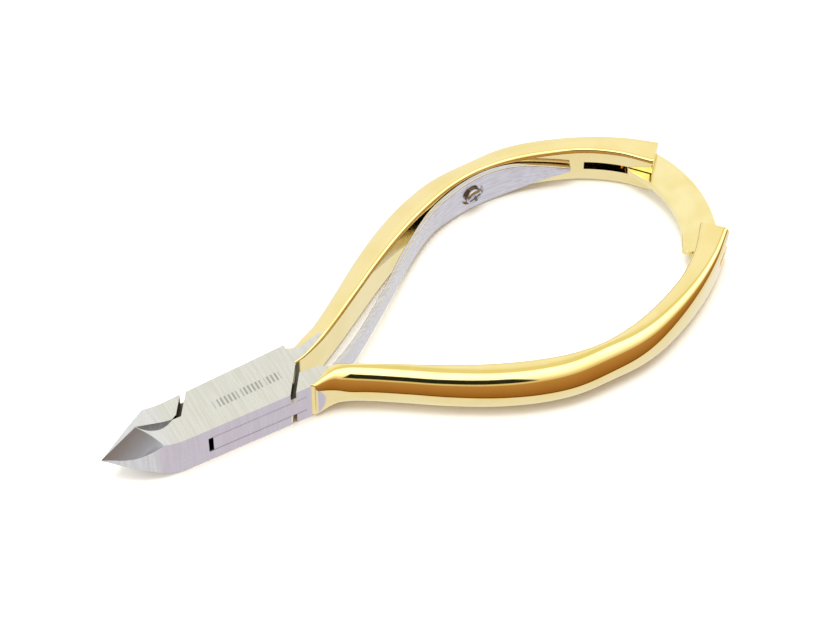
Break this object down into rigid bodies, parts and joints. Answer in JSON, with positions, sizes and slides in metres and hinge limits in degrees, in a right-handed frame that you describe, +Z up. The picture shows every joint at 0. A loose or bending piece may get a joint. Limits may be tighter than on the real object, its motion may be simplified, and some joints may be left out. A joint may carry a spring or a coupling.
{
  "type": "cuticle nipper",
  "caption": "Hand nipper with pointed hollow-ground jaws, a box joint, a leaf spring and a swinging latch plate that holds the handles shut.",
  "frame": {"origin": "on the pivot axis, at the plane the tool lies on", "axes": "+X from the jaws to the handle ends, +Y towards the handle that carries the spring, +Z up out of the plane the tool lies on"},
  "size_m": [0.1163, 0.0508, 0.0105],
  "materials": {
    "box_half": "gold plated and polished, with ground satin steel head",
    "tongue_half": "gold plated and polished, with ground satin steel head",
    "pivot_pin": "ground flush",
    "leaf_spring": "polished spring steel",
    "spring_screw": "bright",
    "latch_plate": "gold plated",
    "latch_rivet": "ground flush"
  },
  "bodies": {
    "box_body": {"box_half": "box_half", "pivot_pin": "pivot_pin", "leaf_spring": "leaf_spring", "spring_screw": "spring_screw", "latch_rivet": "latch_rivet"},
    "tongue_body": {"tongue_half": "tongue_half"},
    "latch_body": {"latch_plate": "latch_plate"}
  },
  "joints": [
    {"name": "handle_pivot", "type": "hinge", "parent": "box_body", "child": "tongue_body", "pos_m": [0, 0, 0.0043], "axis": [0, 0, -1], "range_deg": [0, 12], "stiffness_Nm_per_rad": 2.5, "springref_deg": 18.91, "deforming": ["leaf_spring"]},
    {"name": "latch_swing", "type": "hinge", "parent": "box_body", "child": "latch_body", "pos_m": [0.086, 0.01067, 0.0043], "axis": [0, 0, 1], "range_deg": [0, 110]}
  ]
}
